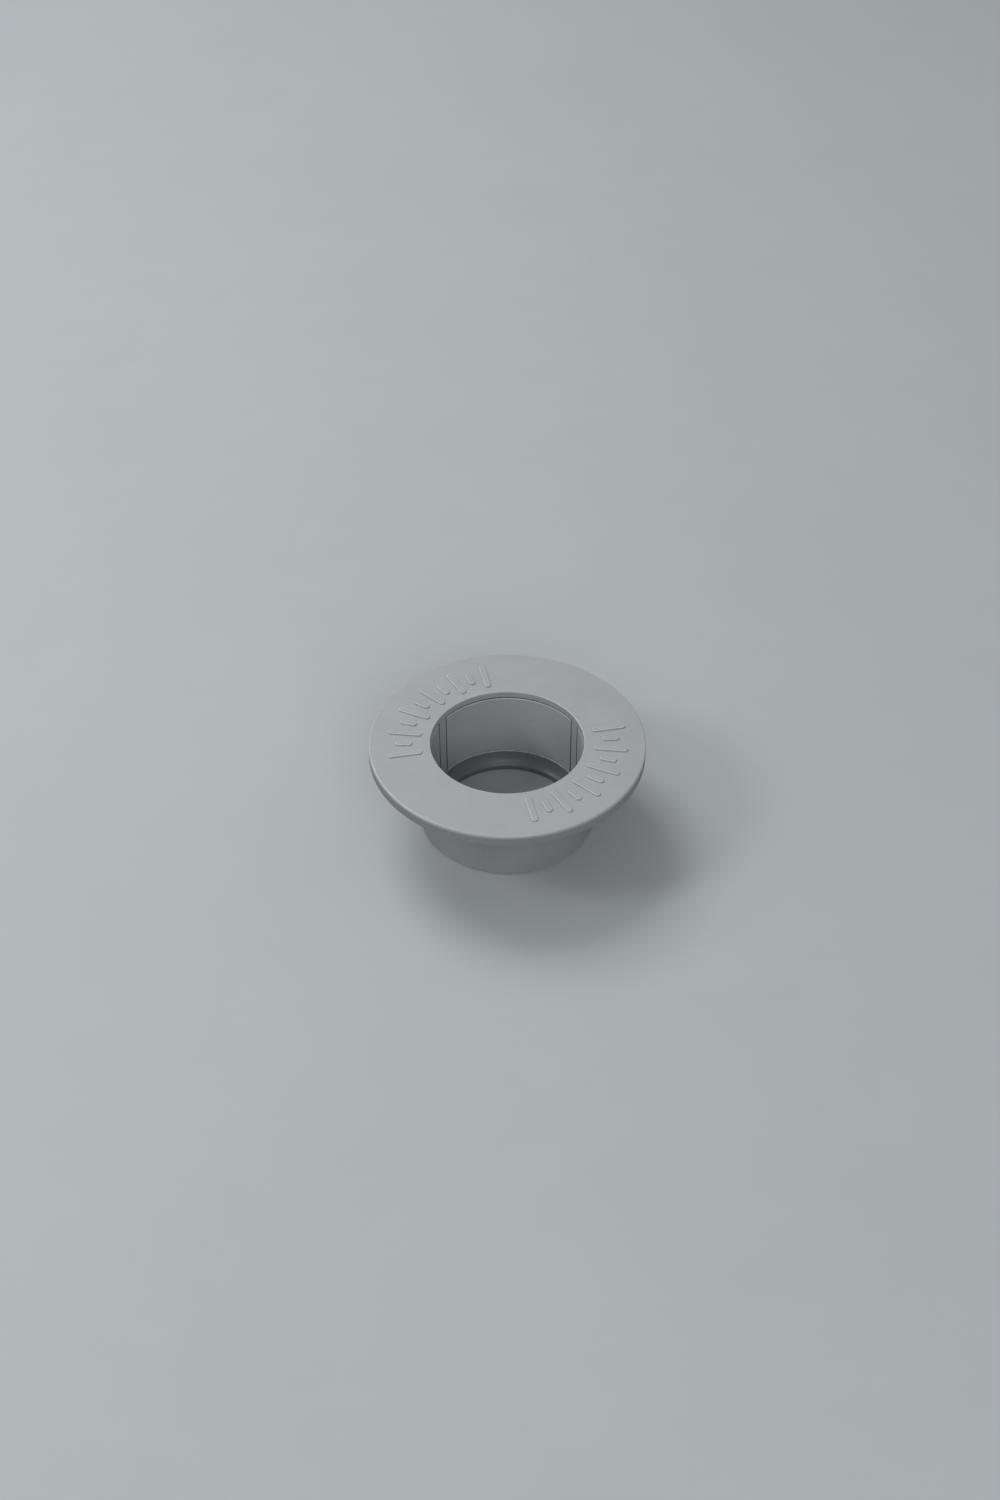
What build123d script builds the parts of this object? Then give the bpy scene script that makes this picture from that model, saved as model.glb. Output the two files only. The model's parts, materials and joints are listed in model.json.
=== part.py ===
from build123d import *
import math
import os

os.makedirs("parts", exist_ok=True)

# A parasol hole insert for a garden tabletop: a flanged sleeve that is screwed into the
# table, three curved wall panels that line it, a collar that guides the pole, and a cover
# ring that hides the flange and reaches down between the panels with three legs.
# Millimetres. The origin is on the bore axis at the foot of the sleeve, and +Z points up.

# ---- driving sizes ----

insert_height = 36.0  # foot of the sleeve to the cover's top face, without the raised rays
cover_r = 50.0
wall_bore_r = 27.75  # bore through the cover, the legs and the wall panels
collar_bore_r = 25.0  # the narrowest place, which guides the pole

cover_plate = 2.5
cover_rim_height = 4.6
cover_skirt = 2.2
cover_edge_round = 0.65
cover_bore_round = 0.35
cover_seat_inset = 2.2  # from the skirt to the rib that the cover rests on
cover_seat_width = 1.5

leg_count = 3
leg_width = 3.9
first_leg_angle = 30.0

ray_height = 0.5
ray_width = 2.3
ray_pitch = 8.8  # degrees
ray_inner_margin = 3.4  # from the bore to the long rays
ray_outer_margin = 6.5  # from the rim to the long rays
short_ray_share = 0.5
rays_in_group = 11
ray_group_angles = (149.0, 329.0)
ray_top_round = 0.2

panel_wall = 2.25
panel_round = 0.3
peg_r = 2.0
peg_end_inset = 0.1
peg_margin = 4.5  # from the collar's top to the lower pegs, and from the seat to the upper ones

sleeve_wall = 1.9
sleeve_lip = 1.6
sleeve_lip_inset = 0.25  # the lip's hole, inside the bore
sleeve_foot_chamfer = 0.8
flange_thickness = 3.0

collar_height = 5.6
collar_land = 2.0
collar_land_round = 0.5
collar_bow = 0.124  # rise of the funnel's arc, as a share of its chord

gasket_thickness = 1.2
gasket_edge_inset = 0.4
gasket_pilot = 0.35  # step on the sleeve that centres the gasket

grip_height = 1.2
grip_depth = 1.0
grip_below_flange_top = 0.55
grip_round = 0.4

screw_count = 3
first_screw_angle = 90.0
screw_r = 2.0  # over the thread
screw_neck_r = 1.8  # rolled threads leave a thinner neck under the head
screw_head_r = 4.0
screw_head_angle = 90.0
screw_length = 16.0
screw_tip_chamfer = 0.5
recess_width = 0.9
recess_length = 4.4
recess_depth = 1.3

# ---- clearances ----

lining_gap = 0.5  # round each wall panel, and under the cover's plate
lining_clearance = 0.1  # panels and legs to the sleeve
leg_foot_gap = 0.7
collar_clearance = 0.2
peg_clearance = 0.05
skirt_clearance = 0.4
grip_clearance = 0.03
grip_side_clearance = 0.05
screw_clearance = 0.3
gasket_clearance = 0.05

# ---- derived sizes ----

lining_r = wall_bore_r + panel_wall
sleeve_inner_r = lining_r + lining_clearance
sleeve_outer_r = sleeve_inner_r + sleeve_wall
sleeve_lip_bore_r = wall_bore_r - sleeve_lip_inset
skirt_inner_r = cover_r - cover_skirt
flange_r = skirt_inner_r - skirt_clearance

plate_bottom_z = insert_height - cover_plate
skirt_bottom_z = insert_height - cover_rim_height
flange_top_z = plate_bottom_z - lining_gap
flange_bottom_z = flange_top_z - flange_thickness
seat_z = flange_bottom_z - gasket_thickness

collar_top_z = sleeve_lip + collar_height
collar_outer_r = lining_r - collar_clearance
collar_nose_r = sleeve_lip_bore_r - collar_clearance
funnel_bow = collar_bow * math.hypot(wall_bore_r - collar_bore_r, collar_top_z - collar_land)
leg_foot_z = collar_top_z + leg_foot_gap

panel_height = flange_top_z - collar_top_z
half_pitch = 180.0 / leg_count
panel_side_offset = leg_width / 2 + lining_gap
peg_heights = (collar_top_z + peg_margin, seat_z - peg_margin)
peg_end_r = sleeve_outer_r - peg_end_inset
peg_embed = panel_wall / 2
peg_hole_depth = 2 * sleeve_wall

groove_top_z = flange_top_z - grip_below_flange_top
groove_bottom_z = groove_top_z - grip_height
groove_r = flange_r - grip_depth
gasket_inner_r = sleeve_outer_r + gasket_pilot + gasket_clearance
gasket_outer_r = flange_r - gasket_edge_inset

screw_circle_r = (sleeve_outer_r + flange_r) / 2
screw_hole_r = screw_r + screw_clearance
screw_head_height = (screw_head_r - screw_neck_r) / math.tan(math.radians(screw_head_angle / 2))

panel_names = ("wall_panel_back", "wall_panel_left", "wall_panel_right")
panel_angles = [first_leg_angle + half_pitch * (2 * i + 1) for i in range(leg_count)]


def radial_plane(angle, radius, height):
    """The plane that faces outwards at this angle, radius and height, with X upwards."""
    outwards = Vector(math.cos(math.radians(angle)), math.sin(math.radians(angle)), 0)
    origin = outwards * radius + Vector(0, 0, height)
    return Plane(origin=origin, x_dir=(0, 0, 1), z_dir=outwards)


def save(part, name):
    """Labels a finished piece and writes it."""
    part.label = name
    export_step(part, f"parts/{name}.step")


# ---- base sleeve ----

with BuildPart() as base_sleeve:
    with BuildSketch(Plane.XZ):
        with BuildLine():
            Polyline(
                (sleeve_lip_bore_r, 0),
                (sleeve_outer_r - sleeve_foot_chamfer, 0),
                (sleeve_outer_r, sleeve_foot_chamfer),
                (sleeve_outer_r, seat_z),
                (sleeve_outer_r + gasket_pilot, seat_z),
                (sleeve_outer_r + gasket_pilot, flange_bottom_z),
                (flange_r, flange_bottom_z),
                (flange_r, groove_bottom_z),
                (groove_r, groove_bottom_z),
                (groove_r, groove_top_z),
                (flange_r, groove_top_z),
                (flange_r, flange_top_z),
                (sleeve_inner_r, flange_top_z),
                (sleeve_inner_r, sleeve_lip),
                (sleeve_lip_bore_r, sleeve_lip),
                close=True,
            )
        make_face()
    revolve(axis=Axis.Z)
    with Locations((0, 0, flange_top_z)):
        with PolarLocations(screw_circle_r, screw_count, start_angle=first_screw_angle):
            CounterSinkHole(screw_hole_r, screw_head_r, flange_thickness, screw_head_angle)
    for panel_angle in panel_angles:
        for peg_z in peg_heights:
            with BuildSketch(radial_plane(panel_angle, lining_r, peg_z)):
                Circle(peg_r + peg_clearance)
            extrude(amount=peg_hole_depth, mode=Mode.SUBTRACT)
save(base_sleeve.part, "base_sleeve")

# ---- wall panels ----

# a wedge whose two sides run parallel to the middles of the legs next to it
wedge_apex = panel_side_offset / math.sin(math.radians(half_pitch))
wedge_reach = 2 * lining_r
wedge_side_x = wedge_apex + wedge_reach * math.cos(math.radians(half_pitch))
wedge_side_y = wedge_reach * math.sin(math.radians(half_pitch))

for panel_name, panel_angle in zip(panel_names, panel_angles):
    with BuildPart() as wall_panel:
        with BuildSketch(Plane.XY.offset(collar_top_z).rotated((0, 0, panel_angle))):
            Circle(lining_r)
            Circle(wall_bore_r, mode=Mode.SUBTRACT)
            Polygon(
                (wedge_apex, 0),
                (wedge_side_x, wedge_side_y),
                (2 * wedge_reach, 0),
                (wedge_side_x, -wedge_side_y),
                align=None,
                mode=Mode.INTERSECT,
            )
        extrude(amount=panel_height)
        bore_face = wall_panel.faces().filter_by(GeomType.CYLINDER).sort_by(SortBy.AREA)[0]
        fillet(bore_face.edges(), radius=panel_round)
        for peg_z in peg_heights:
            with BuildSketch(radial_plane(panel_angle, lining_r - peg_embed, peg_z)):
                Circle(peg_r)
            extrude(amount=peg_end_r - lining_r + peg_embed)
    save(wall_panel.part, panel_name)

# ---- guide collar ----

with BuildPart() as guide_collar:
    with BuildSketch(Plane.XZ) as collar_section:
        with BuildLine():
            SagittaArc((wall_bore_r, collar_top_z), (collar_bore_r, collar_land), funnel_bow)
            Polyline(
                (collar_bore_r, collar_land),
                (collar_bore_r, 0),
                (collar_nose_r, 0),
                (collar_nose_r, sleeve_lip),
                (collar_outer_r, sleeve_lip),
                (collar_outer_r, collar_top_z),
                (wall_bore_r, collar_top_z),
            )
        make_face()
        land_corner = collar_section.vertices().sort_by_distance((collar_bore_r, collar_land))[0]
        fillet(land_corner, radius=collar_land_round)
    revolve(axis=Axis.Z)
save(guide_collar.part, "guide_collar")

# ---- flange gasket ----

with BuildPart() as flange_gasket:
    with BuildSketch(Plane.XY.offset(seat_z)):
        Circle(gasket_outer_r)
        Circle(gasket_inner_r, mode=Mode.SUBTRACT)
        with PolarLocations(screw_circle_r, screw_count, start_angle=first_screw_angle):
            Circle(screw_hole_r, mode=Mode.SUBTRACT)
    extrude(amount=gasket_thickness)
save(flange_gasket.part, "flange_gasket")

# ---- grip ring, which holds the cover by friction ----

with BuildPart() as cover_grip_ring:
    with BuildSketch(Plane.XZ):
        with BuildLine():
            Polyline(
                (groove_r, groove_bottom_z + grip_side_clearance),
                (skirt_inner_r - grip_clearance, groove_bottom_z + grip_side_clearance),
                (skirt_inner_r - grip_clearance, groove_top_z - grip_side_clearance),
                (groove_r, groove_top_z - grip_side_clearance),
                close=True,
            )
        make_face()
    revolve(axis=Axis.Z)
    grip_edges = cover_grip_ring.edges().filter_by(GeomType.CIRCLE).group_by(SortBy.RADIUS)[-1]
    fillet(grip_edges, radius=grip_round)
save(cover_grip_ring.part, "cover_grip_ring")

# ---- fixing screws ----

with BuildPart() as screw:
    with BuildSketch(Plane.XZ):
        with BuildLine():
            Polyline(
                (0, flange_top_z),
                (screw_head_r, flange_top_z),
                (screw_neck_r, flange_top_z - screw_head_height),
                (screw_neck_r, seat_z),
                (screw_r, seat_z),
                (screw_r, flange_top_z - screw_length + screw_tip_chamfer),
                (screw_r - screw_tip_chamfer, flange_top_z - screw_length),
                (0, flange_top_z - screw_length),
                close=True,
            )
        make_face()
    revolve(axis=Axis.Z)
    with BuildSketch(Plane.XY.offset(flange_top_z)):
        Rectangle(recess_length, recess_width)
        Rectangle(recess_width, recess_length)
    extrude(amount=-recess_depth, mode=Mode.SUBTRACT)

with BuildPart() as fixing_screws:
    with PolarLocations(screw_circle_r, screw_count, start_angle=first_screw_angle):
        add(screw.part)
save(fixing_screws.part, "fixing_screws")

# ---- cover ring ----

seat_outer_r = skirt_inner_r - cover_seat_inset
seat_inner_r = seat_outer_r - cover_seat_width
long_ray_inner_r = wall_bore_r + ray_inner_margin
long_ray_outer_r = cover_r - ray_outer_margin
ray_mid_r = (long_ray_inner_r + long_ray_outer_r) / 2
long_ray_length = long_ray_outer_r - long_ray_inner_r

with BuildPart() as cover_ring:
    with BuildSketch(Plane.XZ):
        with BuildLine():
            Polyline(
                (wall_bore_r, plate_bottom_z),
                (wall_bore_r, insert_height),
                (cover_r, insert_height),
                (cover_r, skirt_bottom_z),
                (skirt_inner_r, skirt_bottom_z),
                (skirt_inner_r, plate_bottom_z),
                (seat_outer_r, plate_bottom_z),
                (seat_outer_r, flange_top_z),
                (seat_inner_r, flange_top_z),
                (seat_inner_r, plate_bottom_z),
                close=True,
            )
        make_face()
    revolve(axis=Axis.Z)
    top_edges = cover_ring.edges().group_by(Axis.Z)[-1]
    fillet(top_edges.sort_by(SortBy.RADIUS)[-1], radius=cover_edge_round)
    fillet(cover_ring.edges().group_by(Axis.Z)[-1].sort_by(SortBy.RADIUS)[0], radius=cover_bore_round)
    with BuildSketch(Plane.XY.offset(plate_bottom_z)):
        with PolarLocations(lining_r, leg_count, start_angle=first_leg_angle):
            Rectangle(2 * panel_wall + leg_width, leg_width)
        Circle(lining_r, mode=Mode.INTERSECT)
        Circle(wall_bore_r, mode=Mode.SUBTRACT)
    extrude(amount=leg_foot_z - plate_bottom_z)
    with BuildSketch(Plane.XY.offset(insert_height)):
        for group_angle in ray_group_angles:
            for i in range(rays_in_group):
                ray_angle = group_angle + ray_pitch * (i - (rays_in_group - 1) / 2)
                ray_length = long_ray_length if i % 2 == 0 else long_ray_length * short_ray_share
                with PolarLocations(ray_mid_r, 1, start_angle=ray_angle):
                    SlotOverall(ray_length, ray_width)
    extrude(amount=ray_height)
    fillet(cover_ring.edges().group_by(Axis.Z)[-1], radius=ray_top_round)
save(cover_ring.part, "cover_ring")
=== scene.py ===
"""Looks of a parasol hole insert: cover ring, lined bore, guide collar, sleeve, seals and screws.

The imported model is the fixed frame. Each sub-assembly below builds finer meshes for its own
nodes, in metres and in the frame's own axes, and dresses them with procedural finishes.
"""

import json
import logging
import math
from dataclasses import dataclass, field
from enum import Enum

import bmesh
import bpy
from mathutils import Matrix, Vector

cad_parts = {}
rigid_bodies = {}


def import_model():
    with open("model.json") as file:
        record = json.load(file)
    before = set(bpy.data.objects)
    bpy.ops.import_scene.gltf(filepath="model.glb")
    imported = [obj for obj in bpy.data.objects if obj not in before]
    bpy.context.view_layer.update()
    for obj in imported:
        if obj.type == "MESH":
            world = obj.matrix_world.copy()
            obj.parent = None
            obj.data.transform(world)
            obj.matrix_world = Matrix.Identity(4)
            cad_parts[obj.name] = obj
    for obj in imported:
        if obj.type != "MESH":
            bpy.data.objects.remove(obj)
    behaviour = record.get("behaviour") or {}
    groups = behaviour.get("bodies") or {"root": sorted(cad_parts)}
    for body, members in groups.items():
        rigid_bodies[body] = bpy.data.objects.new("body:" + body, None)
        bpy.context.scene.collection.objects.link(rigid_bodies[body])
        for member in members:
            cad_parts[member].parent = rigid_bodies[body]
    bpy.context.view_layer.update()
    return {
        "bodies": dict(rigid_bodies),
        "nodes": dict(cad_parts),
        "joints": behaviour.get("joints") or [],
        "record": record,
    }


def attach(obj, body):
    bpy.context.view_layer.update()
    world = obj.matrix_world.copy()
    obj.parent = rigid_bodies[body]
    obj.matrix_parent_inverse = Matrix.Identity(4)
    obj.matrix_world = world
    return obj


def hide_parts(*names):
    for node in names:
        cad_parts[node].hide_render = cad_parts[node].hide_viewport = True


LOG = logging.getLogger("parasol_insert")
MM = 0.001
TURN = 2 * math.pi
SNAP = 0.02 * MM
WELD = 0.001 * MM
ANGLE_SNAP = 0.00002


# ---------------------------------------------------------------------------- measuring


def reach(v: bmesh.types.BMVert | bpy.types.MeshVertex) -> float:
    """How far a vertex is from the bore axis."""
    return math.hypot(v.co.x, v.co.y)


def bearing(v: bmesh.types.BMVert, middle: float = 0.0) -> float:
    """The angle of a vertex about the bore axis from a middle angle, in radians."""
    return math.remainder(math.atan2(v.co.y, v.co.x) - middle, TURN)


def turned(angle: float, radius: float = 0.0, height: float = 0.0) -> Matrix:
    """Places a shape drawn along +X at an angle in degrees, a radius and a height about the bore."""
    return Matrix.Rotation(math.radians(angle), 4, "Z") @ Matrix.Translation((radius, 0, height))


@dataclass(frozen=True)
class Span:
    """The radii and heights that a CAD node takes up about the bore axis, in metres."""

    inner: float
    outer: float
    low: float
    high: float

    @classmethod
    def of(cls, node: bpy.types.Object) -> "Span":
        """Measures a node.

        Args:
            node: A CAD node's object, which sits at the origin.

        Returns:
            The span of its vertices.
        """
        radii = [reach(v) for v in node.data.vertices]
        heights = [v.co.z for v in node.data.vertices]
        return cls(min(radii), max(radii), min(heights), max(heights))


# ---------------------------------------------------------------------------- mesh work


class Shop:
    """Mesh operations that more than one sub-assembly uses."""

    @staticmethod
    def arc(start: tuple, end: tuple, bow: float, steps: int) -> list[tuple]:
        """Points along a circular arc in a radius and height plane.

        Args:
            start: Radius and height of the first point.
            end: Radius and height of the last point.
            bow: Rise of the arc over its chord, positive to the right of the way from start to end.
            steps: Number of stretches.

        Returns:
            The points, both ends among them.
        """
        a, b = Vector(start), Vector(end)
        chord = b - a
        half = chord.length / 2
        radius = (half * half + bow * bow) / (2 * abs(bow))
        side = Vector((chord.y, -chord.x)).normalized() * math.copysign(1.0, bow)
        centre = (a + b) / 2 + side * (abs(bow) - radius)
        first = math.atan2(a.y - centre.y, a.x - centre.x)
        last = math.atan2(b.y - centre.y, b.x - centre.x)
        sweep = (last - first + math.pi) % TURN - math.pi
        angles = [first + sweep * i / steps for i in range(steps + 1)]
        return [(centre.x + radius * math.cos(t), centre.y + radius * math.sin(t)) for t in angles]

    @staticmethod
    def section(bm: bmesh.types.BMesh, outline: list[tuple]) -> list:
        """Draws a closed outline of radius and height points in the XZ plane.

        Args:
            bm: The mesh to draw in.
            outline: The corners in order.

        Returns:
            The new vertices and edges.
        """
        verts = [bm.verts.new((r, 0, z)) for r, z in outline]
        edges = [bm.edges.new((a, b)) for a, b in zip(verts, verts[1:] + verts[:1])]
        return verts + edges

    @staticmethod
    def spun(bm: bmesh.types.BMesh, geom: list, steps: int) -> None:
        """Turns drawn vertices and edges all the way round the bore axis.

        Args:
            bm: The mesh that they are in.
            geom: The vertices and edges.
            steps: Number of segments in the full turn.
        """
        bmesh.ops.spin(
            bm, geom=geom, axis=(0, 0, 1), cent=(0, 0, 0), angle=TURN, steps=steps, use_merge=True,
        )
        bmesh.ops.remove_doubles(bm, verts=bm.verts[:], dist=WELD)
        bmesh.ops.recalc_face_normals(bm, faces=bm.faces[:])

    @classmethod
    def lathe(cls, bm: bmesh.types.BMesh, outline: list[tuple], steps: int) -> None:
        """Turns a closed outline of radius and height corners round the bore axis."""
        cls.spun(bm, cls.section(bm, outline), steps)

    @staticmethod
    def extruded(bm: bmesh.types.BMesh, faces: list, height: float) -> None:
        """Extrudes faces straight up, or down where the height is negative."""
        made = bmesh.ops.extrude_face_region(bm, geom=faces)["geom"]
        moved = [g for g in made if isinstance(g, bmesh.types.BMVert)]
        bmesh.ops.translate(bm, verts=moved, vec=(0, 0, height))

    @staticmethod
    def circles(bm: bmesh.types.BMesh, radius: float, height: float) -> list[bmesh.types.BMEdge]:
        """The edges that lie on a circle about the bore axis.

        Args:
            bm: The mesh to search.
            radius: The circle's radius.
            height: The circle's height.

        Returns:
            Its edges.
        """

        def on(v: bmesh.types.BMVert) -> bool:
            """Whether a vertex lies on the circle."""
            return abs(reach(v) - radius) < SNAP and abs(v.co.z - height) < SNAP

        return [e for e in bm.edges if on(e.verts[0]) and on(e.verts[1])]

    @staticmethod
    def bevel(bm: bmesh.types.BMesh, edges: list, width: float, segments: int = 3) -> None:
        """Rounds edges.

        Args:
            bm: The mesh that they are in.
            edges: The edges to round.
            width: How far the round reaches into each side.
            segments: Facets across the round.
        """
        bmesh.ops.bevel(
            bm, geom=edges, offset=width, offset_type="OFFSET", segments=segments, profile=0.5,
            affect="EDGES", clamp_overlap=True, material=-1,
        )

    @staticmethod
    def sharp_edges(bm: bmesh.types.BMesh, angle: float = 50.0) -> list[bmesh.types.BMEdge]:
        """The convex edges whose two faces turn by more than an angle in degrees."""
        least = math.radians(angle)
        joins = [e for e in bm.edges if len(e.link_faces) == 2]
        return [e for e in joins if e.is_convex and e.calc_face_angle() > least]

    @staticmethod
    def merged(bm: bmesh.types.BMesh, other: bmesh.types.BMesh) -> None:
        """Adds another mesh to this one as a separate shell, and frees it."""
        mesh = bpy.data.meshes.new("joined")
        other.to_mesh(mesh)
        other.free()
        bm.from_mesh(mesh)
        bpy.data.meshes.remove(mesh)

    @staticmethod
    def loose(bm: bmesh.types.BMesh, name: str) -> bpy.types.Object:
        """Puts a mesh into the scene at the origin, undressed, and frees it."""
        mesh = bpy.data.meshes.new(name)
        bm.to_mesh(mesh)
        bm.free()
        made = bpy.data.objects.new(name, mesh)
        bpy.context.scene.collection.objects.link(made)
        return made

    @classmethod
    def piece(
        cls, bm: bmesh.types.BMesh, name: str, material: bpy.types.Material, smooth: float = 40.0,
    ) -> bpy.types.Object:
        """Makes a finished object at the origin from a mesh.

        Args:
            bm: The mesh, which is freed.
            name: The piece's name.
            material: Its finish.
            smooth: Edges that turn by more than this many degrees stay sharp.

        Returns:
            The object.
        """
        made = cls.loose(bm, name)
        mesh = made.data
        mesh.materials.append(material)
        for polygon in mesh.polygons:
            polygon.use_smooth = True
        mesh.set_sharp_from_angle(angle=math.radians(smooth))
        weighted = made.modifiers.new("weighted_normals", "WEIGHTED_NORMAL")
        weighted.keep_sharp = True
        weighted.weight = 80
        LOG.info("%s: %d faces", name, len(mesh.polygons))
        return made


# ---------------------------------------------------------------------------- shader groups


class Graph:
    """A short hand for building node trees."""

    def __init__(self, tree: bpy.types.NodeTree) -> None:
        """Takes the tree to build in."""
        self.tree = tree

    def add(self, kind: str, values: dict | None = None, **settings: object) -> bpy.types.Node:
        """Adds a node.

        Args:
            kind: The node's type.
            values: Socket name or index to a constant, or to another node's output socket.
            **settings: The node's own properties.

        Returns:
            The node.
        """
        made = self.tree.nodes.new(kind)
        for name, value in settings.items():
            setattr(made, name, value)
        for socket, value in (values or {}).items():
            if isinstance(value, bpy.types.NodeSocket):
                self.tree.links.new(value, made.inputs[socket])
            else:
                made.inputs[socket].default_value = value
        return made

    def math(self, operation: str, *values: object) -> bpy.types.NodeSocket:
        """The output of a Math node on these constants or sockets."""
        return self.add("ShaderNodeMath", dict(enumerate(values)), operation=operation).outputs[0]

    def ramp(
        self, value: bpy.types.NodeSocket, low: float, high: float, to: tuple = (0.0, 1.0),
    ) -> bpy.types.NodeSocket:
        """Maps a value smoothly from low and high onto two other values."""
        values = {"Value": value, "From Min": low, "From Max": high, "To Min": to[0], "To Max": to[1]}
        return self.add("ShaderNodeMapRange", values, interpolation_type="SMOOTHSTEP").outputs["Result"]

    def noise(
        self, vector: bpy.types.NodeSocket, scale: object, detail: float = 3.0, rough: float = 0.5,
    ) -> bpy.types.NodeSocket:
        """The factor of a Noise Texture."""
        values = {"Vector": vector, "Scale": scale, "Detail": detail, "Roughness": rough}
        return self.add("ShaderNodeTexNoise", values).outputs["Fac"]

    def mix(self, factor: object, a: object, b: object) -> bpy.types.NodeSocket:
        """A colour mixed from two others."""
        return self.add("ShaderNodeMix", {0: factor, 6: a, 7: b}, data_type="RGBA").outputs[2]

    def split(self, vector: bpy.types.NodeSocket) -> tuple:
        """The three parts of a vector."""
        return tuple(self.add("ShaderNodeSeparateXYZ", {"Vector": vector}).outputs)

    def length(self, a: bpy.types.NodeSocket, b: bpy.types.NodeSocket) -> bpy.types.NodeSocket:
        """The length of a vector with these two parts."""
        squares = self.math("ADD", self.math("MULTIPLY", a, a), self.math("MULTIPLY", b, b))
        return self.math("SQRT", squares)

    def effect(self, group: bpy.types.NodeTree, values: dict) -> bpy.types.NodeOutputs:
        """The outputs of a shared effect on these inputs."""
        return self.add("ShaderNodeGroup", values, node_tree=group).outputs


class SharedEffects:
    """The node groups that more than one finish places."""

    def __init__(self) -> None:
        """Builds every group once."""
        self.mottle = self._mottle()
        self.moulded_grain = self._moulded_grain()
        self.edge_wear_and_highlight = self._edge_wear_and_highlight()
        self.rub_marks = self._rub_marks()
        self.flecks = self._flecks()
        self.painted_joint_shade = self._painted_joint_shade()

    @staticmethod
    def _start(name: str, inputs: dict[str, float], outputs: tuple[str, ...] = ("Mask",)) -> tuple:
        """Opens a group that takes a Vector and some numbers.

        Args:
            name: The group's name.
            inputs: Name and default value of each number.
            outputs: Names of the value outputs.

        Returns:
            The group, its graph, its input sockets and its output node.
        """
        group = bpy.data.node_groups.new(name, "ShaderNodeTree")
        sockets = group.interface
        sockets.new_socket("Vector", in_out="INPUT", socket_type="NodeSocketVector")
        for label, default in inputs.items():
            made = sockets.new_socket(label, in_out="INPUT", socket_type="NodeSocketFloat")
            made.default_value = default
        for label in outputs:
            sockets.new_socket(label, in_out="OUTPUT", socket_type="NodeSocketFloat")
        graph = Graph(group)
        return group, graph, graph.add("NodeGroupInput").outputs, graph.add("NodeGroupOutput")

    def _mottle(self) -> bpy.types.NodeTree:
        """Slow cloudy variation of a moulded surface, centred on a half."""
        group, graph, given, out = self._start("mottle", {"Scale": 60.0}, ("Value",))
        broad = graph.noise(given["Vector"], given["Scale"], detail=4.0, rough=0.55)
        finer = graph.noise(given["Vector"], graph.math("MULTIPLY", given["Scale"], 5.3), detail=2.0)
        both = graph.math("ADD", graph.math("MULTIPLY", broad, 0.7), graph.math("MULTIPLY", finer, 0.3))
        graph.tree.links.new(graph.ramp(both, 0.3, 0.7), out.inputs["Value"])
        return group

    def _moulded_grain(self) -> bpy.types.NodeTree:
        """Fine spark-eroded texture: a height, and a mask of its hollows."""
        outputs = ("Height", "Hollows")
        group, graph, given, out = self._start("moulded_grain", {"Scale": 3000.0}, outputs)
        place = {"Vector": given["Vector"], "Scale": given["Scale"]}
        cells = graph.add("ShaderNodeTexVoronoi", place, feature="SMOOTH_F1").outputs["Distance"]
        grain = graph.noise(given["Vector"], graph.math("MULTIPLY", given["Scale"], 1.7), detail=2.0)
        height = graph.math("ADD", graph.math("MULTIPLY", cells, 0.6), graph.math("MULTIPLY", grain, 0.4))
        graph.tree.links.new(height, out.inputs["Height"])
        graph.tree.links.new(graph.ramp(height, 0.42, 0.2), out.inputs["Hollows"])
        return group

    def _edge_wear_and_highlight(self) -> bpy.types.NodeTree:
        """Where a round edge about the bore axis is rubbed, or gets a painted highlight line: a mask that
        noise breaks up.
        """
        sizes = {"Radius": 0.05, "Height": 0.036, "Width": 0.001}
        group, graph, given, out = self._start("edge_wear_and_highlight", sizes)
        x, y, z = graph.split(given["Vector"])
        aside = graph.math("SUBTRACT", graph.length(x, y), given["Radius"])
        above = graph.math("SUBTRACT", z, given["Height"])
        away = graph.math("DIVIDE", graph.length(aside, above), given["Width"])
        broken = graph.noise(given["Vector"], 420.0, detail=5.0, rough=0.65)
        uneven = graph.math("MULTIPLY", graph.math("SUBTRACT", broken, 0.5), 1.6)
        wear_and_highlight = graph.ramp(graph.math("ADD", away, uneven), 1.0, 0.35)
        graph.tree.links.new(wear_and_highlight, out.inputs["Mask"])
        return group

    def _rub_marks(self) -> bpy.types.NodeTree:
        """Fine upright scratches inside a bore, as a pole leaves them."""
        group, graph, given, out = self._start("rub_marks", {"Amount": 0.5})
        x, y, z = graph.split(given["Vector"])
        around = graph.math("MULTIPLY", graph.math("ARCTAN2", y, x), 60.0)
        drawn = graph.add("ShaderNodeCombineXYZ", {0: around, 1: graph.math("MULTIPLY", z, 90.0)})
        streaks = graph.noise(drawn.outputs[0], 1.0, detail=6.0, rough=0.7)
        patches = graph.noise(given["Vector"], 110.0, detail=2.0)
        lit = graph.math("MULTIPLY", graph.ramp(streaks, 0.56, 0.7), graph.ramp(patches, 0.42, 0.62))
        graph.tree.links.new(graph.math("MULTIPLY", lit, given["Amount"]), out.inputs["Mask"])
        return group

    def _flecks(self) -> bpy.types.NodeTree:
        """Sparse specks of dust."""
        group, graph, given, out = self._start("flecks", {"Scale": 900.0})
        place = {"Vector": given["Vector"], "Scale": given["Scale"]}
        specks = graph.ramp(graph.add("ShaderNodeTexVoronoi", place).outputs["Distance"], 0.16, 0.06)
        sparse = graph.ramp(graph.noise(given["Vector"], 260.0, detail=3.0), 0.6, 0.7)
        graph.tree.links.new(graph.math("MULTIPLY", specks, sparse), out.inputs["Mask"])
        return group

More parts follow.
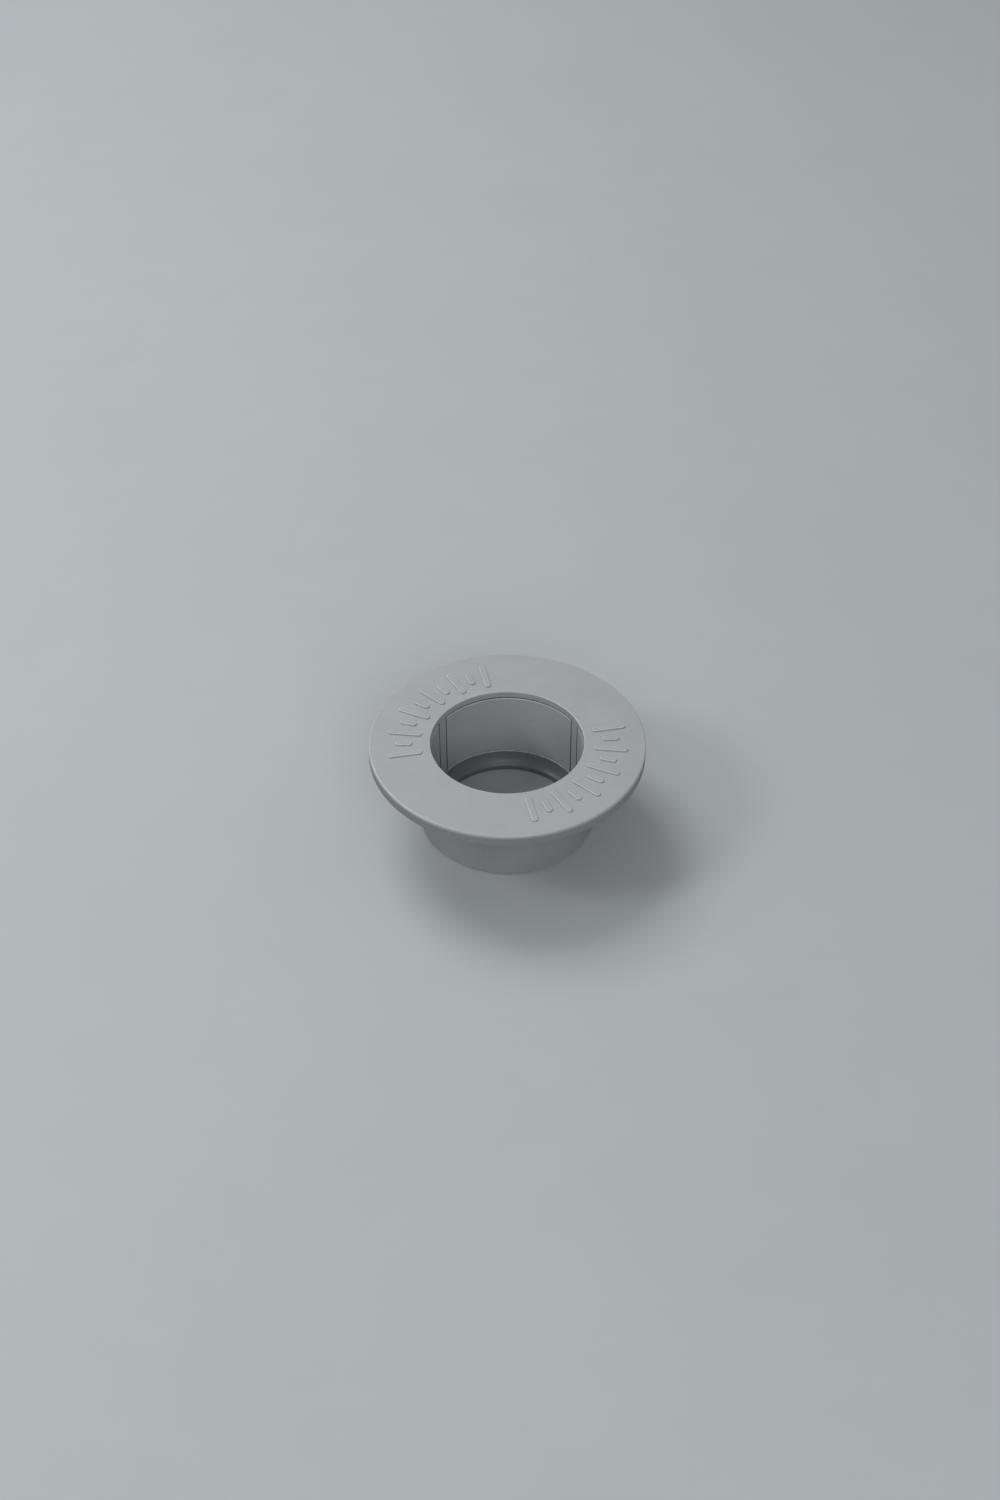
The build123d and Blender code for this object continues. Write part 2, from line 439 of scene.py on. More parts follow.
    def _painted_joint_shade(self) -> bpy.types.NodeTree:
        """Painted shade between two radii and under a height, standing for the shade inside a gap between
        parts, as a mask that noise breaks up.
        """
        sizes = {"Inner": 0.028, "Outer": 0.03, "Top": 0.034, "Fade": 0.0001}
        group, graph, given, out = self._start("painted_joint_shade", sizes)
        x, y, z = graph.split(given["Vector"])
        radius = graph.length(x, y)
        behind = graph.ramp(graph.math("SUBTRACT", radius, given["Inner"]), 0.0, 0.25 * MM)
        before = graph.ramp(graph.math("SUBTRACT", radius, given["Outer"]), 0.3 * MM, 0.1 * MM)
        above = graph.math("DIVIDE", graph.math("SUBTRACT", z, given["Top"]), given["Fade"])
        inside = graph.math("MULTIPLY", graph.math("MULTIPLY", behind, before), graph.ramp(above, 1.0, 0.0))
        broken = graph.ramp(graph.noise(given["Vector"], 600.0, detail=3.0), 0.3, 0.6, (0.9, 1.0))
        graph.tree.links.new(graph.math("MULTIPLY", inside, broken), out.inputs["Mask"])
        return group


# ---------------------------------------------------------------------------- finishes


@dataclass(frozen=True)
class RoundEdge:
    """A circular edge about the bore axis that wear brightens, or that gets a painted highlight line, in
    metres.
    """

    radius: float
    height: float
    width: float
    gain: float = 1.22


@dataclass(frozen=True)
class ShadeBand:
    """Where painted shade darkens about the bore axis, in metres, and how much of it there is."""

    inner: float
    outer: float
    top: float
    fade: float
    amount: float


class Tone(Enum):
    """Base colours, linear."""

    COVER_GREY = (0.316, 0.332, 0.345)
    # The cover's plastic toned a little lighter: painted light on the bore's shaded wall.
    PANEL_LIT_GREY = (0.328, 0.347, 0.361)
    # The cover's plastic darkened: painted shade for the collar at the foot of the bore.
    COLLAR_SHADED_GREY = (0.128, 0.145, 0.154)
    SLEEVE_GREY = (0.235, 0.250, 0.262)
    SEAL_BLACK = (0.022, 0.023, 0.025)
    GRIP_BLACK = (0.016, 0.017, 0.019)
    STAINLESS = (0.470, 0.466, 0.455)
    FLOOR_GREY = (0.385, 0.410, 0.425)

    def shade(self, gain: float) -> tuple[float, float, float, float]:
        """This colour times a gain, with full alpha."""
        return tuple(min(1.0, c * gain) for c in self.value) + (1.0,)


class Coat:
    """A new material, with the graph that feeds its Principled shader."""

    def __init__(self, name: str) -> None:
        """Makes the material by this name."""
        self.material = bpy.data.materials.new(name)
        self.material.use_nodes = True
        self.graph = Graph(self.material.node_tree)
        self.shader = self.material.node_tree.nodes["Principled BSDF"]

    def where(self) -> bpy.types.NodeSocket:
        """The Object coordinates."""
        return self.graph.add("ShaderNodeTexCoord").outputs["Object"]

    def fixed(self, socket: str, value: float) -> None:
        """Sets one of the shader's inputs to a constant."""
        self.shader.inputs[socket].default_value = value

    def fed(self, socket: str, value: bpy.types.NodeSocket) -> None:
        """Feeds one of the shader's inputs."""
        self.graph.tree.links.new(value, self.shader.inputs[socket])

    def bumped(self, height: bpy.types.NodeSocket, depth: float, strength: float = 1.0) -> None:
        """Roughens the surface.

        Args:
            height: What varies over it.
            depth: Its full relief in metres.
            strength: Share of the relief that shows.
        """
        values = {"Height": height, "Strength": strength, "Distance": depth}
        self.fed("Normal", self.graph.add("ShaderNodeBump", values).outputs["Normal"])


@dataclass(frozen=True)
class Finish:
    """What every finish has: its material's name and its base colour."""

    name: str
    tone: Tone

    def lay(self, coat: Coat, effects: SharedEffects) -> None:
        """Builds the finish's own graph in a new coat, from the shared node groups."""

    def build(self, effects: SharedEffects) -> bpy.types.Material:
        """Makes the material.

        Args:
            effects: The shared node groups.

        Returns:
            The finished material.
        """
        coat = Coat(self.name)
        self.lay(coat, effects)
        return coat.material


@dataclass(frozen=True)
class MouldedPlastic(Finish):
    """A satin moulded plastic with grain, cloudy tone, rubbed edges and painted edge highlights, pole
    marks, dust, and painted shade in joints and low on a rim.
    """

    roughness: float = 0.46
    refraction: float = 1.48
    cloud_scale: float = 55.0
    grain_scale: float = 3200.0
    grain_depth: float = 0.000012
    tone_swing: float = 0.05
    edges: tuple[RoundEdge, ...] = ()
    crown_rub_and_highlight_layer: str = ""
    crown_rub_and_highlight_gain: float = 1.45
    rubbing: float = 0.0
    dust: float = 0.25
    dust_scale: float = 700.0
    painted_shade: tuple[ShadeBand, ...] = ()

    def lay(self, coat: Coat, effects: SharedEffects) -> None:
        """Builds the finish's own graph in a new coat, from the shared node groups."""
        graph, where, shade = coat.graph, coat.where(), self.tone.shade
        cloud = graph.effect(effects.mottle, {"Vector": where, "Scale": self.cloud_scale})["Value"]
        grain = graph.effect(effects.moulded_grain, {"Vector": where, "Scale": self.grain_scale})
        colour = graph.mix(cloud, shade(1 - self.tone_swing), shade(1 + self.tone_swing))
        colour = graph.mix(graph.math("MULTIPLY", grain["Hollows"], 0.35), colour, shade(0.8))
        rough = graph.ramp(cloud, 0.0, 1.0, (self.roughness - 0.05, self.roughness + 0.06))
        # Round edges: rubbed wear on the cover and sleeve, painted highlight lines on the lining's edges
        # and the collar's mouth.
        for edge in self.edges:
            place = {"Radius": edge.radius, "Height": edge.height, "Width": edge.width}
            wear_and_highlight = graph.effect(effects.edge_wear_and_highlight, {"Vector": where, **place})["Mask"]
            colour = graph.mix(graph.math("MULTIPLY", wear_and_highlight, 0.7), colour, shade(edge.gain))
            rough = graph.math("SUBTRACT", rough, graph.math("MULTIPLY", wear_and_highlight, 0.14))
        # Painted highlight round each ray's crown, which also stands for rubbing.
        if self.crown_rub_and_highlight_layer:
            crown = graph.add("ShaderNodeAttribute", attribute_name=self.crown_rub_and_highlight_layer).outputs["Fac"]
            rub_and_highlight_mask = graph.math("MULTIPLY", crown, graph.ramp(cloud, 0.1, 0.7, (0.6, 1.0)))
            colour = graph.mix(rub_and_highlight_mask, colour, shade(self.crown_rub_and_highlight_gain))
        if self.rubbing:
            rubs = graph.effect(effects.rub_marks, {"Vector": where, "Amount": self.rubbing})["Mask"]
            colour = graph.mix(rubs, colour, shade(1.35))
            rough = graph.math("ADD", rough, graph.math("MULTIPLY", rubs, 0.15))
        specks = graph.effect(effects.flecks, {"Vector": where, "Scale": self.dust_scale})["Mask"]
        colour = graph.mix(graph.math("MULTIPLY", specks, self.dust), colour, shade(1.5))
        # Painted shade: darkens the faces inside the gaps between parts, and low on the rim, towards 6 % of
        # the tone.
        for spot in self.painted_shade:
            place = {"Inner": spot.inner, "Outer": spot.outer, "Top": spot.top, "Fade": spot.fade}
            mask = graph.effect(effects.painted_joint_shade, {"Vector": where, **place})["Mask"]
            shaded = graph.math("MULTIPLY", mask, spot.amount)
            colour = graph.mix(shaded, colour, shade(0.06))
            rough = graph.math("ADD", rough, graph.math("MULTIPLY", shaded, 0.35))
        coat.fed("Base Color", colour)
        coat.fed("Roughness", rough)
        coat.bumped(grain["Height"], self.grain_depth)
        coat.fixed("IOR", self.refraction)


@dataclass(frozen=True)
class SoftRubber(Finish):
    """A matt rubber with fine pores and a dusty bloom."""

    roughness: float = 0.72
    refraction: float = 1.5
    cloud_scale: float = 140.0
    pore_scale: float = 2600.0
    pore_depth: float = 0.00003
    dust_scale: float = 1200.0

    def lay(self, coat: Coat, effects: SharedEffects) -> None:
        """Builds the finish's own graph in a new coat, from the shared node groups."""
        graph, where, shade = coat.graph, coat.where(), self.tone.shade
        cloud = graph.effect(effects.mottle, {"Vector": where, "Scale": self.cloud_scale})["Value"]
        pores = graph.effect(effects.moulded_grain, {"Vector": where, "Scale": self.pore_scale})
        specks = graph.effect(effects.flecks, {"Vector": where, "Scale": self.dust_scale})["Mask"]
        colour = graph.mix(cloud, shade(0.85), shade(1.5))
        colour = graph.mix(graph.math("MULTIPLY", pores["Hollows"], 0.7), colour, shade(0.5))
        colour = graph.mix(graph.math("MULTIPLY", specks, 0.5), colour, shade(4.0))
        coat.fed("Base Color", colour)
        coat.fed("Roughness", graph.ramp(cloud, 0.0, 1.0, (self.roughness - 0.06, self.roughness + 0.08)))
        coat.bumped(pores["Height"], self.pore_depth)
        coat.fixed("IOR", self.refraction)


@dataclass(frozen=True)
class TurnedSteel(Finish):
    """Stainless steel with the fine rings that turning leaves about each screw's own axis."""

    roughness: float = 0.38
    cloud_scale: float = 260.0
    ring_scale: float = 9000.0
    ring_depth: float = 0.000006

    def lay(self, coat: Coat, effects: SharedEffects) -> None:
        """Builds the finish's own graph in a new coat, from the shared node groups."""
        graph, shade = coat.graph, self.tone.shade
        own = graph.add("ShaderNodeAttribute", attribute_name=FixingScrews.OWN_AXIS).outputs["Vector"]
        x, y, z = graph.split(own)
        drawn = graph.add("ShaderNodeCombineXYZ", {0: graph.length(x, y), 1: z}).outputs[0]
        rings = graph.noise(drawn, self.ring_scale, detail=2.0)
        cloud = graph.effect(effects.mottle, {"Vector": own, "Scale": self.cloud_scale})["Value"]
        colour = graph.mix(cloud, shade(0.86), shade(1.08))
        colour = graph.mix(graph.ramp(rings, 0.5, 0.8, (0.0, 0.35)), colour, shade(0.7))
        coat.fed("Base Color", colour)
        coat.fed("Roughness", graph.ramp(rings, 0.3, 0.7, (self.roughness - 0.07, self.roughness + 0.1)))
        coat.bumped(rings, self.ring_depth)
        coat.fixed("Metallic", 1.0)


@dataclass(frozen=True)
class PowderFloor(Finish):
    """The pale, very slightly speckled floor."""

    roughness: float = 0.62
    cloud_scale: float = 9.0
    speckle_scale: float = 2200.0
    speckle_depth: float = 0.00002

    def lay(self, coat: Coat, effects: SharedEffects) -> None:
        """Builds the finish's own graph in a new coat, from the shared node groups."""
        graph, where, shade = coat.graph, coat.where(), self.tone.shade
        cloud = graph.effect(effects.mottle, {"Vector": where, "Scale": self.cloud_scale})["Value"]
        coat.fed("Base Color", graph.mix(cloud, shade(0.985), shade(1.015)))
        coat.bumped(graph.noise(where, self.speckle_scale, detail=1.0), self.speckle_depth, strength=0.35)
        coat.fixed("Roughness", self.roughness)


# ---------------------------------------------------------------------------- sub-assemblies


@dataclass
class CoverRing:
    """The cover: a flat ring with a down-turned rim, three legs and two groups of raised rays."""

    span: Span
    flange_top: float
    lining_outer: float
    material: bpy.types.Material
    steps: int = 288
    plate: float = 2.5 * MM
    rim_height: float = 4.6 * MM
    skirt: float = 2.2 * MM
    seat_inset: float = 2.2 * MM
    seat_width: float = 1.5 * MM
    rim_round: float = 0.65 * MM
    bore_round: float = 0.35 * MM
    foot_round: float = 0.3 * MM
    leg_angles: tuple[float, ...] = (30.0, 150.0, 270.0)
    leg_width: float = 3.9 * MM
    leg_round: float = 0.22 * MM
    ray_height: float = 0.5 * MM
    ray_width: float = 2.3 * MM
    ray_pitch: float = 8.8
    ray_inner_margin: float = 3.4 * MM
    ray_outer_margin: float = 6.5 * MM
    short_ray: float = 0.5
    rays_in_group: int = 11
    ray_groups: tuple[float, ...] = (149.0, 329.0)
    ray_sink: float = 0.15 * MM
    ray_round: float = 0.2 * MM
    crown_width: float = 0.16 * MM

    CROWN_RUB_AND_HIGHLIGHT = "crown_rub_and_highlight"

    @property
    def top(self) -> float:
        """Height of the cover's flat face."""
        return self.span.high - self.ray_height

    def outline(self) -> list[tuple]:
        """The ring's section: radius and height corners."""
        bore, rim = self.span.inner, self.span.outer
        under, foot = self.top - self.plate, self.top - self.rim_height
        skirt_inner = rim - self.skirt
        seat_outer = skirt_inner - self.seat_inset
        seat_inner = seat_outer - self.seat_width
        return [
            (bore, under), (bore, self.top), (rim, self.top), (rim, foot), (skirt_inner, foot),
            (skirt_inner, under), (seat_outer, under), (seat_outer, self.flange_top),
            (seat_inner, self.flange_top), (seat_inner, under), (self.lining_outer, under),
        ]

    def _legs(self, bm: bmesh.types.BMesh) -> None:
        """Draws the three legs down out of the ring's underside, with parallel sides."""
        under = self.top - self.plate
        half = self.leg_width / 2
        segment = TURN / self.steps
        limit = (round(math.asin(half / self.span.inner) / segment) + 0.5) * segment
        for angle in self.leg_angles:
            middle = math.radians(angle)
            faces = [
                f for f in bm.faces
                if all(abs(v.co.z - under) < SNAP for v in f.verts)
                and all(reach(v) < self.lining_outer + SNAP for v in f.verts)
                and all(abs(bearing(v, middle)) < limit for v in f.verts)
            ]
            corners = {v for f in faces for v in f.verts}
            widest = max(abs(bearing(v, middle)) for v in corners)
            for v in corners:
                turn = bearing(v, middle)
                if abs(turn) > widest - ANGLE_SNAP:
                    radius = reach(v)
                    square = middle + math.copysign(math.asin(half / radius), turn)
                    v.co.x, v.co.y = radius * math.cos(square), radius * math.sin(square)
            Shop.extruded(bm, faces, self.span.low - under)
            bmesh.ops.delete(bm, geom=[f for f in faces if f.is_valid], context="FACES_ONLY")

    def _leg_edges(self, bm: bmesh.types.BMesh) -> list[bmesh.types.BMEdge]:
        """The legs' upright and lower edges."""
        under = self.top - self.plate
        return [
            e for e in Shop.sharp_edges(bm)
            if min(v.co.z for v in e.verts) < self.flange_top - SNAP
            and max(v.co.z for v in e.verts) < under + SNAP
            and all(reach(v) < self.lining_outer + SNAP for v in e.verts)
        ]

    def _ray(self, length: float, place: Matrix) -> bmesh.types.BMesh:
        """One raised ray, with the line round its crown marked for a painted highlight that also stands for
        rubbing.

        Args:
            length: Its length, ends among it.
            place: Where it stands; it is drawn along X.

        Returns:
            Its closed mesh.
        """
        bm = bmesh.new()
        bm.verts.layers.float.new(self.CROWN_RUB_AND_HIGHLIGHT)
        bmesh.ops.create_circle(bm, cap_ends=True, segments=32, radius=self.ray_width / 2)
        stretch = (length - self.ray_width) / 2
        ends = {1: [v for v in bm.verts if v.co.x > SNAP], -1: [v for v in bm.verts if v.co.x < -SNAP]}
        for way, verts in ends.items():
            bmesh.ops.translate(bm, verts=verts, vec=(way * stretch, 0, 0))
        crest = self.ray_height + self.ray_sink
        Shop.extruded(bm, bm.faces[:], crest)
        bmesh.ops.recalc_face_normals(bm, faces=bm.faces[:])
        crown = [e for e in bm.edges if all(v.co.z > self.ray_height / 2 for v in e.verts)]
        Shop.bevel(bm, crown, self.ray_round)
        flat = [f for f in bm.faces if all(v.co.z > crest - SNAP / 2 for v in f.verts)]
        # Marks the crown's rounded edge for the painted highlight.
        crown_mark = bm.verts.layers.float[self.CROWN_RUB_AND_HIGHLIGHT]
        for v in bm.verts:
            v[crown_mark] = 1.0 if v.co.z > crest - self.ray_round / 2 else 0.0
        bmesh.ops.inset_region(bm, faces=flat, thickness=self.crown_width, use_even_offset=True)
        for v in {v for f in flat for v in f.verts}:
            v[crown_mark] = 0.0
        bmesh.ops.transform(bm, matrix=place, verts=bm.verts[:])
        return bm

    def _rays(self, bm: bmesh.types.BMesh) -> None:
        """Sets both groups of rays, long and short in turn, on the ring."""
        inner = self.span.inner + self.ray_inner_margin
        outer = self.span.outer - self.ray_outer_margin
        for group in self.ray_groups:
            for i in range(self.rays_in_group):
                angle = group + self.ray_pitch * (i - (self.rays_in_group - 1) / 2)
                length = (outer - inner) * (1.0 if i % 2 == 0 else self.short_ray)
                place = turned(angle, (inner + outer) / 2, self.top - self.ray_sink)
                Shop.merged(bm, self._ray(length, place))

    def build(self) -> bpy.types.Object:
        """Builds the cover and dresses it.

        Returns:
            The piece, which rides on the cover's body.
        """
        bm = bmesh.new()
        bm.verts.layers.float.new(self.CROWN_RUB_AND_HIGHLIGHT)
        Shop.lathe(bm, self.outline(), self.steps)
        rim, bore, foot = self.span.outer, self.span.inner, self.top - self.rim_height
        self._legs(bm)
        bmesh.ops.recalc_face_normals(bm, faces=bm.faces[:])
        Shop.bevel(bm, self._leg_edges(bm), self.leg_round)
        Shop.bevel(bm, Shop.circles(bm, rim, self.top), self.rim_round, segments=8)
        Shop.bevel(bm, Shop.circles(bm, bore, self.top), self.bore_round, segments=5)
        Shop.bevel(bm, Shop.circles(bm, rim, foot), self.foot_round)
        Shop.bevel(bm, Shop.circles(bm, rim - self.skirt, foot), self.foot_round / 2)
        self._rays(bm)
        piece = Shop.piece(bm, "cover_ring_moulding", self.material)
        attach(piece, "cover")
        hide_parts("cover_ring")
        return piece


@dataclass
class WallPanel:
    """A curved panel of the bore's lining, with two pegs that go out through the sleeve."""

    node: str
    angle: float
    span: Span
    lining_outer: float
    material: bpy.types.Material
    side_offset: float
    peg_heights: tuple[float, float]
    wall: float = 2.25 * MM
    half_pitch: float = 60.0
    steps: int = 96
    face_round: float = 0.3 * MM
    back_round: float = 0.12 * MM
    peg_radius: float = 2.0 * MM
    peg_round: float = 0.12 * MM
    dimple: float = 0.35 * MM
    dimple_margin: float = 0.7 * MM

    def _half_angle(self, radius: float) -> float:
        """How far the panel reaches to each side at a radius, in radians."""
        return math.radians(self.half_pitch) - math.asin(self.side_offset / radius)

    def _body(self) -> bmesh.types.BMesh:
        """The curved panel itself, about +X."""
        bm = bmesh.new()
        inner, outer, low, high = self.span.inner, self.lining_outer, self.span.low, self.span.high
        geom = Shop.section(bm, [(inner, low), (outer, low), (outer, high), (inner, high)])
        half = self._half_angle(inner)
        bmesh.ops.rotate(bm, verts=bm.verts[:], cent=(0, 0, 0), matrix=Matrix.Rotation(-half, 3, "Z"))
        bmesh.ops.spin(
            bm, geom=geom, axis=(0, 0, 1), cent=(0, 0, 0), angle=2 * half, steps=self.steps,
            use_merge=False,
        )
        bmesh.ops.holes_fill(bm, edges=[e for e in bm.edges if e.is_boundary], sides=4)
        for v in bm.verts:
            radius = reach(v)
            wide = bearing(v) / half * self._half_angle(radius)
            v.co.x, v.co.y = radius * math.cos(wide), radius * math.sin(wide)
        bmesh.ops.recalc_face_normals(bm, faces=bm.faces[:])
        middle = (inner + outer) / 2
        front = [e for e in Shop.sharp_edges(bm) if all(reach(v) < middle for v in e.verts)]
        Shop.bevel(bm, front, self.face_round, segments=4)
        back = [e for e in Shop.sharp_edges(bm, 70.0) if all(reach(v) > middle for v in e.verts)]
        Shop.bevel(bm, back, self.back_round, segments=2)
        return bm

    def _peg(self, height: float) -> bmesh.types.BMesh:
        """One peg with a dimple in its end.

        Args:
            height: Height of its axis.

        Returns:
            Its closed mesh, along +X.
        """
        bm = bmesh.new()
        radius = self.peg_radius
        start = (self.span.inner + self.lining_outer) / 2
        end = math.sqrt(self.span.outer * self.span.outer - radius ** 2)
        lie = Matrix.Translation(((start + end) / 2, 0, height)) @ Matrix.Rotation(math.pi / 2, 4, "Y")
        bmesh.ops.create_cone(
            bm, cap_ends=True, segments=48, radius1=radius, radius2=radius, depth=end - start, matrix=lie,
        )
        tip = [f for f in bm.faces if all(abs(v.co.x - end) < SNAP for v in f.verts)]
        bmesh.ops.inset_region(bm, faces=tip, thickness=self.dimple_margin, use_even_offset=True)
        dent = list({v for f in tip for v in f.verts})
        bmesh.ops.translate(bm, verts=dent, vec=(-self.dimple, 0, 0))
        bmesh.ops.recalc_face_normals(bm, faces=bm.faces[:])
        Shop.bevel(bm, Shop.sharp_edges(bm), self.peg_round, segments=2)
        return bm

    def build(self) -> bpy.types.Object:
        """Builds the panel and dresses it.

        Returns:
            The piece, which rides on the base.
        """
        bm = self._body()
        for height in self.peg_heights:
            Shop.merged(bm, self._peg(height))
        bmesh.ops.transform(bm, matrix=turned(self.angle), verts=bm.verts[:])
        piece = Shop.piece(bm, f"{self.node}_moulding", self.material)
        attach(piece, "base")
        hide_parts(self.node)
        return piece


@dataclass
class GuideCollar:
    """The collar at the foot of the bore, a funnel down to the round hole that guides the pole."""

    span: Span
    bore: float
    material: bpy.types.Material
    steps: int = 256
    funnel_steps: int = 12
    nose_inset: float = 0.45 * MM
    lip_top: float = 1.6 * MM
    land: float = 2.0 * MM
    bow: float = 0.73 * MM
    land_round: float = 0.5 * MM
    mouth_round: float = 0.45 * MM
    foot_round: float = 0.2 * MM

    def build(self) -> bpy.types.Object:
        """Builds the collar and dresses it.

        Returns:
            The piece, which rides on the base.
        """
        bm = bmesh.new()
        inner, outer, high = self.span.inner, self.span.outer, self.span.high
        nose = self.bore - self.nose_inset
        funnel = Shop.arc((self.bore, high), (inner, self.land), -self.bow, self.funnel_steps)
        foot = [(inner, 0.0), (nose, 0.0), (nose, self.lip_top), (outer, self.lip_top), (outer, high)]
        Shop.lathe(bm, funnel + foot, self.steps)
        Shop.bevel(bm, Shop.circles(bm, inner, self.land), self.land_round, segments=4)
        Shop.bevel(bm, Shop.circles(bm, self.bore, high), self.mouth_round)
        for radius in (inner, nose):
            Shop.bevel(bm, Shop.circles(bm, radius, 0.0), self.foot_round, segments=2)
        piece = Shop.piece(bm, "guide_collar_moulding", self.material)
        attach(piece, "base")
        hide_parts("guide_collar")
        return piece


@dataclass
class Seals:
    """The flat gasket under the flange and the ring that grips the cover."""

    gasket: Span
    grip: Span
    screw_circle: float
    screw_angles: tuple[float, ...]
    gasket_material: bpy.types.Material
    grip_material: bpy.types.Material
    screw_hole: float = 2.3 * MM
    gasket_bulge: float = 0.3
    back_depth: float = 0.5 * MM
    back_bow: float = 0.12 * MM
    back_steps: int = 6
    moulding_line: float = 0.05 * MM
    steps: int = 224

    def build_gasket(self) -> bpy.types.Object:
        """Builds the gasket with its screw holes and softly bulged edges.

        Returns:
            The piece, which rides on the base.
        """
        bm = bmesh.new()
        for radius in (self.gasket.inner, self.gasket.outer):
            bmesh.ops.create_circle(bm, segments=self.steps, radius=radius)
        for angle in self.screw_angles:
            place = turned(angle, self.screw_circle)
            bmesh.ops.create_circle(bm, segments=40, radius=self.screw_hole, matrix=place)
        bmesh.ops.triangle_fill(bm, edges=bm.edges[:], use_beauty=True, normal=(0, 0, 1))
        bmesh.ops.translate(bm, verts=bm.verts[:], vec=(0, 0, self.gasket.low))
        thickness = self.gasket.high - self.gasket.low
        Shop.extruded(bm, bm.faces[:], thickness)
        bmesh.ops.recalc_face_normals(bm, faces=bm.faces[:])
        Shop.bevel(bm, Shop.sharp_edges(bm), thickness * self.gasket_bulge, segments=4)
        piece = Shop.piece(bm, "flange_gasket_rubber", self.gasket_material)
        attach(piece, "base")
        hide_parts("flange_gasket")
        return piece

    def build_grip(self) -> bpy.types.Object:
        """Builds the grip ring: a half-round back, a moulding line round its middle and a flat foot.

        Returns:
            The piece, which rides on the base.
        """
        bm = bmesh.new()
        inner, outer, low, high = self.grip.inner, self.grip.outer, self.grip.low, self.grip.high
        middle, shoulder, line = (low + high) / 2, outer - self.back_depth, self.moulding_line
        below = Shop.arc((shoulder, low), (outer - line, middle - line), self.back_bow, self.back_steps)
        above = Shop.arc((outer - line, middle + line), (shoulder, high), self.back_bow, self.back_steps)
        Shop.lathe(bm, [(inner, low)] + below + [(outer, middle)] + above + [(inner, high)], self.steps)
        piece = Shop.piece(bm, "cover_grip_ring_rubber", self.grip_material, smooth=60.0)
        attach(piece, "base")
        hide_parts("cover_grip_ring")
        return piece


